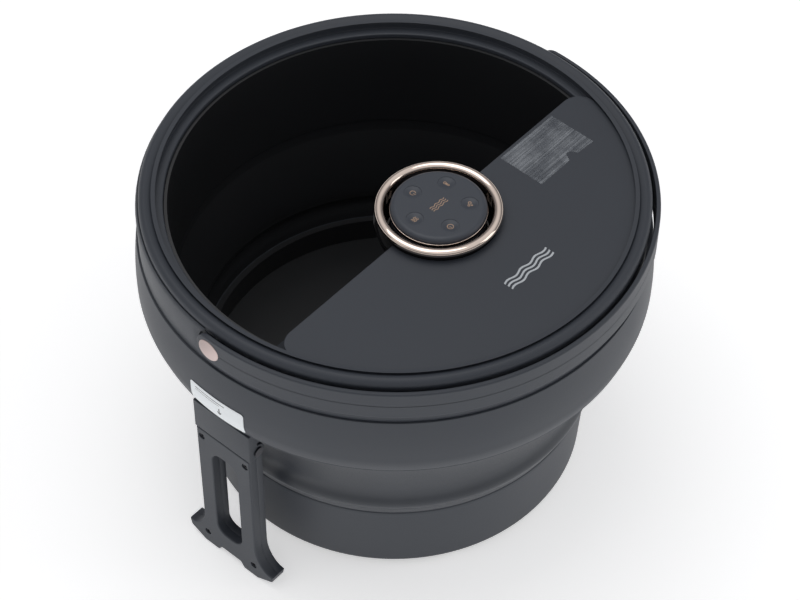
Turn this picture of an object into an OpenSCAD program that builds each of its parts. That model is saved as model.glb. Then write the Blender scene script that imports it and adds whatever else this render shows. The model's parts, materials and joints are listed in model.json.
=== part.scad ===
// Folding pedicure foot bath. Millimetres, +Z up, origin on the floor at the centre of the tub.
// X runs along the handle's pivot axis, the lid and the resting handle are on the -Y side,
// and the open side, where the feet go in, is +Y.

/* [Ring] */
// Outer radius of the rounded bead round the top
rim_r = 210; // [208:1:212]
// Height of the top of the bead above the floor
rim_top = 302; // [301:0.5:304]
// Radius of the bead's rounding
bead_r = 5.5; // [5:0.25:5.75]
// Radius of the opening inside the lid's ledge
mouth_r = 189.8; // [188.8:0.2:190.8]
// Largest radius of the skirt below the handle
skirt_r = 217.5; // [216.8:0.1:218.5]
// Height of the skirt
skirt_h = 62; // [60:1:64]
// Wall of the shells
wall = 3; // [2.6:0.1:3.2]

/* [Handle] */
// Width of the carrying band
handle_w = 28; // [24:1:28]
// Thickness of the carrying band
handle_t = 3.8; // [3:0.2:4]
// Depth of the pivot axis below the top of the bead
pivot_drop = 20; // [20:0.5:21.5]
// Radius of the pivot pins
pivot_r = 5; // [4:0.5:5]
// Distance of the pivot axis from the middle of the tub, towards the open side
pivot_y = 3.5; // [3:0.5:4.5]

/* [Base] */
// Radius of the base at its top edge
base_top_r = 172.4; // [170:0.2:173]
// Radius of the base at its bottom edge
base_bottom_r = 168.5; // [167:0.5:169]
// Height of the base's top edge above the floor
base_h = 84; // [82:1:86]
// Gap between the base and the floor, which its feet fill
base_gap = 9.5; // [8:0.5:11]

/* [Legs] */
// Width of a leg above its foot
leg_w = 60; // [56:1:62]
// Width across the tips of a leg's foot
foot_w = 98; // [90:1:104]
// Thickness of a leg, front to back
leg_t = 15; // [14:0.5:15]
// Distance of a leg's outer face from the centre
leg_face = 213.3; // [212.8:0.1:213.8]
// Width of the slot in a leg
slot_w = 28.4; // [24:0.2:30]

/* [Lid] */
// Thickness of the lid
lid_t = 5; // [4:0.5:5.5]
// Distance of the lid's straight edge from the centre
lid_edge = 40.5; // [39:0.5:42]
// Outer radius of the ring round the remote's well
cup_ring_r = 52.5; // [51.5:0.5:54]
// Distance of the well's centre from the middle of the tub
cup_back = 46.3; // [45.5:0.1:47]
// Depth of the well's body below the lid's top
cup_depth = 26; // [25:1:28]

/* [Remote] */
// Radius of the remote
remote_r = 40; // [38:0.5:41]
// Radius of a key
key_r = 7.2; // [6:0.2:7.6]
// Radius of the circle of keys
key_circle = 25; // [24:0.5:26]

/* [Massage] */
// Largest radius of a massage roller
roller_r = 13; // [11:0.5:13.5]
// Length of a massage roller
roller_len = 62; // [56:1:64]
// Distance of each foot's centre line from the middle of the tub
foot_x = 62; // [58:1:64]
// Distance of the rollers' axles from the middle of a cradle
roller_y = 42; // [36:1:46]

/* [Hidden] */
$fn = 120;
gap = 0.1;
slate = [0.29, 0.31, 0.34];
slate_dark = [0.17, 0.18, 0.20];
rose_gold = [0.80, 0.60, 0.53];
steel = [0.72, 0.73, 0.75];
black = [0.08, 0.08, 0.09];
board_green = [0.10, 0.33, 0.22];

bead_z = rim_top - bead_r;
bead_mid = rim_r - bead_r;
seat_r = rim_r - 12;
ledge_z = rim_top - 9;
bead_low = ledge_z - 1.5;
flange_z = ledge_z - 4;
shell_r = rim_r + 2.6;
shell_in = rim_r - 4;
recess_r = rim_r - 1;
shell_top = ledge_z + 2;
seam_z = rim_top - 44;
skirt_z = seam_z - skirt_h;
skirt_top_r = rim_r + 4.4;
liner_in = mouth_r - wall;
liner_z = skirt_z - 4;
pivot_z = rim_top - pivot_drop;
handle_out = shell_r + 0.6 + handle_t;
boss_r = handle_w / 2;
boss_in = rim_r + 0.4;
cap_r = 10.3;
cap_face = handle_out + 0.5;
hinge_z = skirt_z - 26;
hinge_x = leg_face - 9.8;
leg_top = hinge_z - 8;
leg_back_x = leg_face - leg_t;
leg_split = leg_face - 8;
knuckle_r = 7;
knuckle_w = 35.6;
block_w = leg_w + 2;
slot_top = leg_top - 22;
slot_bottom = 29;
slot_round = 11;
screw_rows = [[152.5, 24.3], [16, 27]];
pan_z = 57;
pan_r = base_top_r - 5.4;
collar_z = base_h - 5.6;
cup_y = -cup_back;
lid_corner = 17;
cup_r = cup_ring_r - 2.7;
lid_z = ledge_z + 0.1;
lid_top = lid_z + lid_t;
cup_z = lid_top - cup_depth;
cup_in = cup_r - 2.8;
ring_top = lid_top + 10.3;
remote_z = cup_z + 11;
remote_top = ring_top + 1.4;
face_z = remote_top - 5;
board_z = face_z - 4;
key_top = remote_top - 0.3;
key_angles = [98, 26, -46, -118, 170];
cradle_z = pan_z + wall;
cradle_h = 15;
axle_r = 3;
axle_z = cradle_z + roller_r + 1.2;
roller_places = [[-foot_x, -roller_y], [-foot_x, roller_y], [foot_x, -roller_y], [foot_x, roller_y]];
heater_y = -118;
inlet_z = 34;

// Radius of the skirt's outer face at t, from 0 at the seam to 1 at its lower edge:
// a slow swell, then a round tuck under.
function skirt_at(t) =
    skirt_top_r + (skirt_r - skirt_top_r) * sin(90 * min(1, t / 0.62))
    - (t > 0.72 ? 4.2 * (1 - cos(90 * (t - 0.72) / 0.28)) : 0);

// Points down the skirt's outer face, moved out by d.
function skirt_curve(d = 0, steps = 20) =
    [for (i = [0 : steps]) [skirt_at(i / steps) + d, seam_z - skirt_h * i / steps]];

// Radius of the bellows' outer face at t, from 0 at the top to 1 at the base: it draws in from the
// ring and swells into one soft fold just above the base.
function bellows_at(t) =
    base_top_r + (mouth_r + 0.2 - base_top_r) * pow(1 - t, 2.2) + 5.5 * exp(-pow((t - 0.87) / 0.085, 2));

// Points down the bellows' outer face, moved out by d.
function bellows_curve(d = 0, steps = 24) =
    let(high = liner_z - 12, low = base_h + 4)
    [for (i = [0 : steps]) [bellows_at(i / steps) + d, high - (high - low) * i / steps]];

function reversed(points) = [for (i = [len(points) - 1 : -1 : 0]) points[i]];

// Right half of a leg's outline, from the arch under its middle up to its top.
function leg_half() = concat(
    [[0, 6.5], [11, 6.5], [15, 0.6], [31, 0.6], [foot_w / 2 - 1.5, 9], [foot_w / 2, 16]],
    [for (a = [15 : 15 : 90])
        [leg_w / 2 + (foot_w - leg_w) / 2 * (1 - sin(a)), 16 + 27 * (1 - cos(a))]],
    [[leg_w / 2, leg_top - 0.4]]);

// A ring with a rectangular section.
module band(r_in, r_out, z_low, z_high) {
    difference() {
        translate([0, 0, z_low]) cylinder(r = r_out, h = z_high - z_low);
        translate([0, 0, z_low - 1]) cylinder(r = r_in, h = z_high - z_low + 2);
    }
}

// Everything on one side of the plane y = y0.
module half_space(side, y0 = 0) {
    translate([-400, side > 0 ? y0 : y0 - 400, -10]) cube([800, 400, 600]);
}

module rod_x(r, x_low, x_high) {
    translate([x_low, 0, 0]) rotate([0, 90, 0]) cylinder(r = r, h = x_high - x_low);
}

module rod_y(r, length) {
    rotate([90, 0, 0]) cylinder(r = r, h = length, center = true);
}

module rounded_plate(size_x, size_y, thick, r) {
    linear_extrude(thick)
        union() {
            square([size_x - 2 * r, size_y], center = true);
            square([size_x, size_y - 2 * r], center = true);
            for (x = [-1, 1], y = [-1, 1])
                translate([x * (size_x / 2 - r), y * (size_y / 2 - r)]) circle(r = r, $fn = 32);
        }
}

// ---- Ring ----

module at_ring_screws() {
    for (a = [22.5 : 45 : 337.5])
        rotate(a) translate([shell_in - 3, 0, 0]) children();
}

module rim_ring() {
    foot_r = shell_in - 0.4;
    color(slate) rotate_extrude() {
        translate([bead_mid, bead_z]) circle(r = bead_r);
        polygon([[seat_r, ledge_z - 1], [foot_r, ledge_z - 1], [foot_r, bead_low], [rim_r - 1, bead_low],
            [rim_r, bead_low + 1], [rim_r, bead_z], [bead_mid, rim_top], [seat_r + 1.6, rim_top - 0.6],
            [seat_r + 0.4, rim_top - 1.2], [seat_r, rim_top - 2.2]]);
        polygon([[mouth_r, flange_z], [foot_r, flange_z], [foot_r, ledge_z],
            [mouth_r + 1.6, ledge_z], [mouth_r + 0.5, ledge_z - 0.5], [mouth_r, ledge_z - 1.6]]);
    }
}

module upper_shell() {
    color(slate) difference() {
        union() {
            band(shell_in, recess_r, seam_z - 4, bead_low - 0.6);
            rotate_extrude()
                polygon([[recess_r - 1, seam_z + 0.25], [shell_r, seam_z + 0.25], [shell_r, shell_top - 4],
                    [shell_r - 0.5, shell_top - 1.4], [shell_r - 1.3, shell_top], [rim_r + 0.5, shell_top],
                    [rim_r + 0.5, bead_low - 1], [recess_r - 1, bead_low - 1]]);
            at_ring_screws() translate([0, 0, skirt_z + 3.4]) cylinder(r = 4.5, h = skirt_h + 10);
        }
        intersection() {
            band(recess_r, shell_r + 1, seam_z + 7, shell_top + 1);
            half_space(-1);
        }
        for (s = [0, 1])
            mirror([s, 0, 0]) translate([0, pivot_y, pivot_z]) {
                rod_x(boss_r + 1.2, recess_r + 0.2, shell_r + 2);
                rod_x(pivot_r, shell_in - 3, shell_r);
            }
        at_ring_screws() translate([0, 0, skirt_z]) cylinder(r = 1.85, h = 24);
    }
}

module skirt_shell() {
    inner = [for (i = [19 : -1 : 1]) [skirt_at(i / 20) - wall, seam_z - skirt_h * i / 20]];
    color(slate) difference() {
        rotate_extrude()
            polygon(concat([[shell_in + wall + 0.3, seam_z]], skirt_curve(),
                [[mouth_r + 1.4, skirt_z], [mouth_r + 1.4, skirt_z + wall]], inner,
                [[shell_in + wall + 0.3, seam_z - wall]]));
        at_ring_screws() translate([0, 0, skirt_z - 1]) cylinder(r = 2, h = wall + 2);
    }
}

module inner_liner() {
    color(slate_dark) band(liner_in, mouth_r - 0.4, liner_z, flange_z - gap);
}

module bellows() {
    color(slate_dark) rotate_extrude()
        polygon(concat([[mouth_r + 0.2, liner_z - gap]], bellows_curve(),
            [[base_top_r, base_h + 3.5], [base_top_r, base_h + gap], [base_top_r - 3, base_h + gap],
                [base_top_r - 3, base_h + 4]],
            reversed(bellows_curve(-2)), [[mouth_r - 1.8, liner_z - gap]]));
}

module bellows_clamp() {
    color(black) band(mouth_r + 0.5, mouth_r + 4, liner_z - 7, skirt_z - gap);
}

module hinge_block() {
    pocket = knuckle_w / 2 + 0.5;
    color(slate) difference() {
        union() {
            translate([-leg_face, -block_w / 2, leg_top + 0.6])
                cube([leg_face - hinge_x, block_w, skirt_z - leg_top - 0.6 - gap]);
            translate([-hinge_x, 0, hinge_z]) rod_y(knuckle_r + 0.4, block_w);
            translate([-hinge_x - 1, -block_w / 2, hinge_z + 10.4])
                cube([hinge_x - mouth_r - 3.4, block_w, skirt_z - hinge_z - 10.4 - gap]);
        }
        translate([-leg_face + 2.2, -pocket, leg_top - 1]) cube([40, 2 * pocket, skirt_z - leg_top - 4]);
        translate([-hinge_x, 0, hinge_z]) rod_y(3.02, block_w + 2);
    }
}

module hinge_block_left() {
    hinge_block();
}

module hinge_block_right() {
    mirror([1, 0, 0]) hinge_block();
}

module leg_pins() {
    color(steel) for (s = [-1, 1])
        translate([s * hinge_x, 0, hinge_z]) {
            rod_y(3, block_w + 1);
            for (e = [-1, 1])
                translate([0, e * (block_w / 2 + 0.8), 0]) rod_y(4.6, 1.4);
        }
}

module handle_pivots() {
    color(steel) for (s = [0, 1])
        mirror([s, 0, 0]) translate([0, pivot_y, pivot_z]) {
            rod_x(pivot_r - gap / 2, shell_in - 2, boss_in + 4.4);
            rod_x(pivot_r + 1.5, shell_in - 6, shell_in - 1.5);
        }
}

module rating_label() {
    tall = 25;
    color("white") intersection() {
        rotate_extrude() polygon(concat(skirt_curve(0.4), reversed(skirt_curve(0.1))));
        translate([-skirt_r, 0, skirt_z + 5 + tall / 2]) rotate([90, 0, 90])
            translate([0, 0, -10]) rounded_plate(58, tall, 20, 3);
    }
}

module ring_screws() {
    color(steel) at_ring_screws() {
        translate([0, 0, skirt_z - 2.2]) cylinder(r = 3.8, h = 2.1);
        translate([0, 0, skirt_z - 1]) cylinder(r = 1.8, h = 20);
    }
}

// ---- Handle ----

module handle_band() {
    half_w = handle_w / 2;
    edge = 0.9;
    band_in = handle_out - handle_t;
    color(slate) difference() {
        union() {
            intersection() {
                translate([0, 0, pivot_z]) rotate_extrude()
                    polygon([[band_in, -half_w], [handle_out - edge, -half_w], [handle_out, edge - half_w],
                        [handle_out, half_w - edge], [handle_out - edge, half_w], [band_in, half_w]]);
                half_space(-1, pivot_y);
            }
            for (s = [0, 1])
                mirror([s, 0, 0]) translate([0, pivot_y, pivot_z]) {
                    rod_x(boss_r, boss_in, handle_out - edge);
                    translate([handle_out - edge, 0, 0]) rotate([0, 90, 0])
                        cylinder(r1 = boss_r, r2 = boss_r - edge, h = edge);
                }
        }
        for (s = [0, 1])
            mirror([s, 0, 0]) translate([0, pivot_y, pivot_z]) {
                rod_x(pivot_r, boss_in - 1, boss_in + 4.8);
                rod_x(cap_r + 0.15, handle_out - 1.6, handle_out + 1);
            }
    }
}

module handle_cap() {
    color(rose_gold) translate([0, pivot_y, pivot_z]) {
        rod_x(cap_r, handle_out - 1.5, cap_face - 0.5);
        translate([cap_face - 0.5, 0, 0]) rotate([0, 90, 0])
            cylinder(r1 = cap_r, r2 = cap_r - 0.5, h = 0.5);
    }
}

module handle_cap_left() {
    mirror([1, 0, 0]) handle_cap();
}

module handle_cap_right() {
    handle_cap();
}

// ---- Legs, drawn for the left side ----

module leg_outline() {
    half = leg_half();
    difference() {
        polygon(concat(half, reversed([for (p = half) [-p[0], p[1]]])));
        translate([0, (slot_top + slot_bottom) / 2]) {
            square([slot_w, slot_top - slot_bottom - 2 * slot_round], center = true);
            square([slot_w - 2 * slot_round, slot_top - slot_bottom], center = true);
            for (y = [-1, 1], z = [-1, 1])
                translate([y * (slot_w / 2 - slot_round), z * ((slot_top - slot_bottom) / 2 - slot_round)])
                    circle(r = slot_round, $fn = 48);
        }
    }
}

// The leg's outline as a plate between two distances from the centre.
module leg_plate(x_far, x_near) {
    translate([-x_far, 0, 0]) rotate([90, 0, 90]) linear_extrude(x_far - x_near) leg_outline();
}

module at_leg_screws() {
    for (row = screw_rows, s = [-1, 1])
        translate([0, s * row[1], row[0]]) children();
}

module pad_pockets(clear) {
    for (s = [-1, 1])
        translate([-leg_face + 2 - clear, s * 23 - 7 - clear, clear > 0 ? -1 : 0])
            cube([leg_t - 4 + 2 * clear, 14 + 2 * clear, 3 + clear + (clear > 0 ? 1 : 0)]);
}

module leg_panel() {
    color(slate) difference() {
        leg_plate(leg_face, leg_split);
        at_leg_screws() {
            rod_x(3.2, -leg_face - 1, -leg_face + 3);
            rod_x(1.6, -leg_face, -leg_split + 1);
        }
        pad_pockets(0.05);
    }
}

module leg_back() {
    color(slate) difference() {
        union() {
            leg_plate(leg_split - gap, leg_back_x);
            translate([-hinge_x, 0, hinge_z]) rod_y(knuckle_r, knuckle_w);
            translate([gap - leg_split, -knuckle_w / 2, leg_top - 4])
                cube([leg_split - gap - leg_back_x, knuckle_w, hinge_z - leg_top + 4]);
        }
        translate([-hinge_x, 0, hinge_z]) rod_y(3.05, knuckle_w + 2);
        at_leg_screws() rod_x(1.55, -leg_split - 1, -leg_back_x - 3);
        pad_pockets(0.05);
    }
}

module leg_screws() {
    color(steel) at_leg_screws() {
        difference() {
            rod_x(2.9, -leg_face + 1.2, -leg_face + 3 - gap);
            rod_x(1.4, -leg_face + 1, -leg_face + 2.2);
        }
        rod_x(1.5, -leg_face + 2.6, -leg_back_x - 4);
    }
}

module leg_pads() {
    color(black) pad_pockets(0);
}

module leg_panel_left() {
    leg_panel();
}

module leg_back_left() {
    leg_back();
}

module leg_screws_left() {
    leg_screws();
}

module leg_pads_left() {
    leg_pads();
}

module leg_panel_right() {
    mirror([1, 0, 0]) leg_panel();
}

module leg_back_right() {
    mirror([1, 0, 0]) leg_back();
}

module leg_screws_right() {
    mirror([1, 0, 0]) leg_screws();
}

module leg_pads_right() {
    mirror([1, 0, 0]) leg_pads();
}

// ---- Base ----

module at_base_screws() {
    for (a = [0 : 60 : 300])
        rotate(a) translate([159.5, 0, 0]) children();
}

module base_shell() {
    top = collar_z - gap;
    color(slate) difference() {
        union() {
            rotate_extrude()
                polygon([[base_bottom_r - 2.5, base_gap], [base_bottom_r - 0.8, base_gap + 0.8],
                    [base_bottom_r, base_gap + 3], [base_top_r - 0.5, top],
                    [base_top_r - 0.5 - wall, top], [base_bottom_r - wall, base_gap + 5],
                    [base_bottom_r - wall, base_gap]]);
            at_base_screws() {
                translate([0, 0, base_gap + wall + gap]) cylinder(r = 4, h = 16, $fn = 48);
                translate([2, -2, base_gap + wall + gap]) cube([5, 4, 16]);
            }
        }
        at_base_screws() cylinder(r = 1.75, h = 26, $fn = 32);
        translate([-14, 0, inlet_z - 10]) cube([28, 200, 20]);
    }
}

module base_collar() {
    color(slate) rotate_extrude()
        polygon([[pan_r + 2.3, collar_z], [base_top_r, collar_z], [base_top_r, base_h - 1.4],
            [base_top_r - 1.4, base_h], [pan_r + 2.3, base_h]]);
}

module basin_pan() {
    color(slate_dark) difference() {
        union() {
            translate([0, 0, pan_z]) cylinder(r = pan_r, h = wall);
            band(pan_r - wall, pan_r, pan_z, base_h);
            band(pan_r - 1, pan_r + 2.2, base_h - 4, base_h);
        }
        translate([0, heater_y, pan_z - 1]) cylinder(r = 30.2, h = wall + 2);
        translate([48, heater_y + 14, pan_z - 1]) cylinder(r = 4.1, h = wall + 2);
        translate([0, 0, pan_z - 1]) cylinder(r = 3, h = wall + 2);
    }
}

module base_bottom() {
    color(slate_dark) difference() {
        translate([0, 0, base_gap]) cylinder(r = base_bottom_r - wall - 0.2, h = wall);
        at_base_screws() translate([0, 0, base_gap - 1]) cylinder(r = 2, h = wall + 2, $fn = 32);
    }
}

module base_feet() {
    color(black) for (a = [45 : 90 : 315])
        rotate(a) translate([132, 0, 0]) {
            cylinder(r1 = 13, r2 = 15, h = 3);
            translate([0, 0, 3]) cylinder(r = 15, h = base_gap - 3 - gap);
        }
}

module base_screws() {
    color(steel) at_base_screws() {
        translate([0, 0, base_gap - 2.2]) cylinder(r = 3.6, h = 2.1, $fn = 48);
        translate([0, 0, base_gap - 1]) cylinder(r = 1.7, h = 14, $fn = 32);
    }
}

module heater_plate() {
    color(steel) {
        translate([0, heater_y, pan_z - 2.1]) cylinder(r = 35, h = 2);
        translate([0, heater_y, pan_z - 1]) cylinder(r = 30, h = wall + 1);
    }
    color(black) for (x = [-18, 18])
        translate([x, heater_y, pan_z - 12]) cylinder(r = 4, h = 9.8, $fn = 48);
}

module water_sensor() {
    color(steel) translate([48, heater_y + 14, pan_z - 10]) {
        cylinder(r = 6, h = 9.8, $fn = 48);
        cylinder(r = 4, h = 16, $fn = 48);
    }
}

module air_pump() {
    color(black) translate([-62, 64, base_gap + wall + gap]) {
        translate([-36, -26, 0]) cube([72, 52, 24]);
        for (x = [-16, 16])
            translate([x, 0, 24]) cylinder(r = 13, h = 7);
        translate([36, -8, 12]) rotate([0, 90, 0]) cylinder(r = 3, h = 8, $fn = 32);
    }
}

module air_tube() {
    low = base_gap + wall + gap + 12;
    color(slate_dark) {
        translate([-17.9, 56, low]) rotate([0, 90, 0]) cylinder(r = 3.4, h = 17.9, $fn = 32);
        translate([0, 59.4, low]) rotate([90, 0, 0]) cylinder(r = 3.4, h = 59.4, $fn = 32);
        translate([0, 0, low]) cylinder(r = 2.9, h = cradle_z - low - 0.3, $fn = 32);
    }
}

module bubble_bar() {
    color(slate) difference() {
        translate([0, 0, cradle_z + gap]) rounded_plate(12, 150, 7, 5);
        for (y = [-66 : 12 : 66])
            translate([0, y, cradle_z + 3]) cylinder(r = 0.9, h = 8, $fn = 24);
    }
}

module control_board() {
    color(board_green) translate([58, 30, base_gap + wall + 6]) cube([80, 60, 1.6], center = true);
    color(black) translate([58, 30, base_gap + wall + 6.8]) {
        translate([-20, -12, 0]) cube([18, 18, 3]);
        translate([12, 4, 0]) cube([16, 20, 14]);
        translate([10, -24, 0]) cylinder(r = 5, h = 16, $fn = 48);
    }
}

module power_board() {
    color(board_green) translate([58, -44, base_gap + wall + 6]) cube([84, 60, 1.6], center = true);
    color(black) translate([58, -44, base_gap + wall + 6.8]) {
        translate([-34, -20, 0]) cube([34, 30, 24]);
        for (x = [12, 28])
            translate([x, -8, 0]) cylinder(r = 6.5, h = 20, $fn = 48);
    }
}

// Mains inlet in the back of the base: a two-pin socket in an oval well.
module power_inlet() {
    face = 168.6;
    color(black) difference() {
        union() {
            translate([-13.8, face - 26, inlet_z - 9.8]) cube([27.6, 24, 19.6]);
            translate([-16.5, face - 6.5, inlet_z - 12]) cube([33, 3, 24]);
        }
        for (x = [-1, 1])
            translate([x * 4.2, face, inlet_z]) rotate([90, 0, 0]) cylinder(r = 4.2, h = 16, $fn = 48);
        translate([-4.2, face - 16, inlet_z - 4.2]) cube([8.4, 20, 8.4]);
    }
    color(steel) for (x = [-1, 1])
        translate([x * 4.4, face - 3, inlet_z]) rotate([90, 0, 0]) cylinder(r = 1.2, h = 14, $fn = 32);
}

// ---- Massage rollers ----

module roller_cradle(x) {
    color(slate) difference() {
        translate([x, 0, cradle_z + gap]) rounded_plate(82, 2 * roller_y + 96, cradle_h, 16);
        for (y = [-1, 1]) {
            translate([x - roller_len / 2 - 1, y * roller_y - roller_r - 1.5, cradle_z - 1])
                cube([roller_len + 2, 2 * roller_r + 3, cradle_h + 2]);
            translate([x, y * roller_y, axle_z]) rod_x(axle_r + 0.02, -38, 38);
        }
    }
}

module roller_cradle_left() {
    roller_cradle(-foot_x);
}

module roller_cradle_right() {
    roller_cradle(foot_x);
}

module roller_axles() {
    color(steel) for (p = roller_places)
        translate([p[0], p[1], axle_z]) rod_x(axle_r, -37.5, 37.5);
}

// A roller with round ribs, on its axle.
module roller(i) {
    core = roller_r - 3;
    color(slate) translate([roller_places[i][0], roller_places[i][1], axle_z]) difference() {
        union() {
            rod_x(core, -roller_len / 2, roller_len / 2);
            for (k = [-3 : 3])
                translate([k * (roller_len - 8) / 6, 0, 0]) {
                    rod_x(roller_r - 0.8, -3, 3);
                    rod_x(roller_r, -2, 2);
                }
        }
        rod_x(axle_r + 0.08, -roller_len, roller_len);
    }
}

module roller_1() {
    roller(0);
}

module roller_2() {
    roller(1);
}

module roller_3() {
    roller(2);
}

module roller_4() {
    roller(3);
}

// ---- Lid ----

// The lid's plan: everything behind its straight edge, whose ends turn away in an arc.
module lid_plan(r) {
    turn_y = -lid_edge - lid_corner;
    turn_x = sqrt(pow(r - lid_corner, 2) - turn_y * turn_y);
    lean = atan2(turn_y, turn_x);
    right = concat([[230, -250], [230, 230 * tan(lean)]],
        [for (i = [0 : 12]) let(a = lean + (90 - lean) * i / 12)
            [turn_x + lid_corner * cos(a), turn_y + lid_corner * sin(a)]]);
    polygon(concat(right, reversed([for (p = right) [-p[0], p[1]]])));
}

module lid_panel() {
    r = seat_r - 0.5;
    edge = 0.7;
    color(slate) difference() {
        intersection() {
            rotate_extrude()
                polygon([[0, lid_z], [r, lid_z], [r, lid_top - edge], [r - edge, lid_top], [0, lid_top]]);
            translate([0, 0, lid_z - 1]) linear_extrude(lid_t + 2) lid_plan(r);
        }
        translate([0, cup_y, lid_z - 1]) cylinder(r = cup_r + 0.2, h = lid_t + 2);
    }
}

module lid_cup() {
    round_r = 9;
    color(black) translate([0, cup_y, 0]) rotate_extrude()
        polygon(concat(
            [[0, cup_z]],
            [for (a = [-90 : 15 : 0])
                [cup_r - round_r + round_r * cos(a), cup_z + round_r + round_r * sin(a)]],
            [[cup_r, lid_z - 3.2], [cup_r + 3, lid_z - 3.2], [cup_r + 3, lid_z - gap], [cup_r, lid_z - gap],
                [cup_r, lid_top + 5.2], [cup_in, lid_top + 5.2]],
            [for (a = [0 : -15 : -90])
                [cup_in - 6 + 6 * cos(a), cup_z + 9 + 6 * sin(a)]],
            [[0, cup_z + 3]]));
}

module cup_ring() {
    color(rose_gold) translate([0, cup_y, lid_top]) rotate_extrude()
        polygon([[cup_ring_r - 2.4, 5.3], [cup_ring_r - 0.7, 5.8], [cup_ring_r, 7.2],
            [cup_ring_r - 0.5, 8.8], [cup_ring_r - 2, 9.9], [cup_ring_r - 4, 10.3], [cup_ring_r - 6, 10],
            [cup_ring_r - 7.4, 8.8], [cup_ring_r - 8, 7], [cup_ring_r - 8, -3],
            [cup_ring_r - 6.5, -3], [cup_ring_r - 6.5, 5.3]]);
}

module remote_rest() {
    color(slate_dark) translate([0, cup_y, cup_z + 3 + gap]) cylinder(r = 30, h = 7.8 - gap);
}

// Three plain wave lines.
module lid_mark() {
    length = 52;
    steps = 40;
    thick = 1.7;
    color("gainsboro") for (row = [-1, 0, 1])
        translate([3 - length / 2, -138 + row * 3.8, lid_top + 0.02]) linear_extrude(0.15)
            polygon(concat(
                [for (i = [0 : steps]) [length * i / steps, thick / 2 + sin(1080 * i / steps)]],
                [for (i = [steps : -1 : 0]) [length * i / steps, sin(1080 * i / steps) - thick / 2]]));
}

// Clear protective film stuck to the lid beside its edge, with a nick in one side.
module lid_film() {
    color([0.85, 0.87, 0.9, 0.5]) translate([116, -66, lid_top + 0.02]) linear_extrude(0.12)
        polygon([[-33.5, 22.5], [33.5, 22], [32.8, -22.9], [14, -21.5], [11, -16], [7, -14.5], [5, -17],
            [2, -21.8], [-34.5, -21.8]]);
}

// ---- Remote ----

module remote_body() {
    color(slate) translate([0, cup_y, 0]) difference() {
        rotate_extrude()
            polygon([[0, remote_z], [remote_r - 6, remote_z], [remote_r - 3, remote_z + 1.2],
                [remote_r - 1.2, remote_z + 5], [remote_r - 1, face_z - 3.2], [0, face_z - 3.2]]);
        translate([0, 0, remote_z + 3]) cylinder(r = remote_r - 6, h = 40);
    }
}

module remote_band() {
    color(rose_gold) translate([0, cup_y, 0]) band(remote_r - 4, remote_r, face_z - 3.1, face_z - gap);
}

module at_keys() {
    for (a = key_angles)
        rotate(a) translate([key_circle, 0, 0]) children();
}

module remote_face() {
    color(slate) translate([0, cup_y, 0]) difference() {
        rotate_extrude()
            polygon([[0, face_z], [remote_r - 0.3, face_z], [remote_r - 0.3, face_z + 1.6],
                [remote_r - 1, face_z + 3.2], [remote_r - 2.6, face_z + 4.5], [remote_r - 4.6, remote_top],
                [0, remote_top]]);
        at_keys() translate([0, 0, face_z - 1]) cylinder(r = key_r + 0.3, h = 10, $fn = 64);
    }
}

module remote_board() {
    color(board_green) translate([0, cup_y, board_z]) cylinder(r = remote_r - 6.4, h = 1.4);
    color(black) translate([0, cup_y, board_z + 1.4]) at_keys()
        translate([-3, -3, 0]) cube([6, 6, 1.4]);
}

module remote_battery() {
    color(steel) translate([0, cup_y, remote_z + 3 + gap]) cylinder(r = 12, h = 5);
}

module key(i) {
    color(slate) translate([0, cup_y, 0]) rotate(key_angles[i]) translate([key_circle, 0, 0]) difference() {
        union() {
            translate([0, 0, face_z + 0.9]) cylinder(r = key_r, h = key_top - face_z - 0.9, $fn = 64);
            translate([0, 0, face_z - 0.3]) cylinder(r = 2, h = 2, $fn = 32);
        }
        translate([0, 0, key_top + 17.6]) sphere(r = 18.6, $fn = 96);
    }
}

module key_power() {
    key(0);
}

module key_heat() {
    key(1);
}

module key_bubbles() {
    key(2);
}

module key_time() {
    key(3);
}

module key_massage() {
    key(4);
}

rim_ring();
upper_shell();
skirt_shell();
inner_liner();
bellows();
bellows_clamp();
hinge_block_left();
hinge_block_right();
leg_pins();
handle_pivots();
rating_label();
ring_screws();
handle_band();
handle_cap_left();
handle_cap_right();
leg_panel_left();
leg_back_left();
leg_screws_left();
leg_pads_left();
leg_panel_right();
leg_back_right();
leg_screws_right();
leg_pads_right();
base_shell();
base_collar();
basin_pan();
base_bottom();
base_feet();
base_screws();
heater_plate();
water_sensor();
air_pump();
air_tube();
bubble_bar();
control_board();
power_board();
power_inlet();
roller_cradle_left();
roller_cradle_right();
roller_axles();
roller_1();
roller_2();
roller_3();
roller_4();
lid_panel();
lid_cup();
cup_ring();
remote_rest();
lid_mark();
lid_film();
remote_body();
remote_band();
remote_face();
remote_board();
remote_battery();
key_power();
key_heat();
key_bubbles();
key_time();
key_massage();
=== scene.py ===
"""Looks of the folding foot bath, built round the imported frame. Metres, in the CAD's own frame."""
import json
import math

import bmesh
import bpy
from mathutils import Matrix, Vector
from mathutils.geometry import tessellate_polygon


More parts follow.
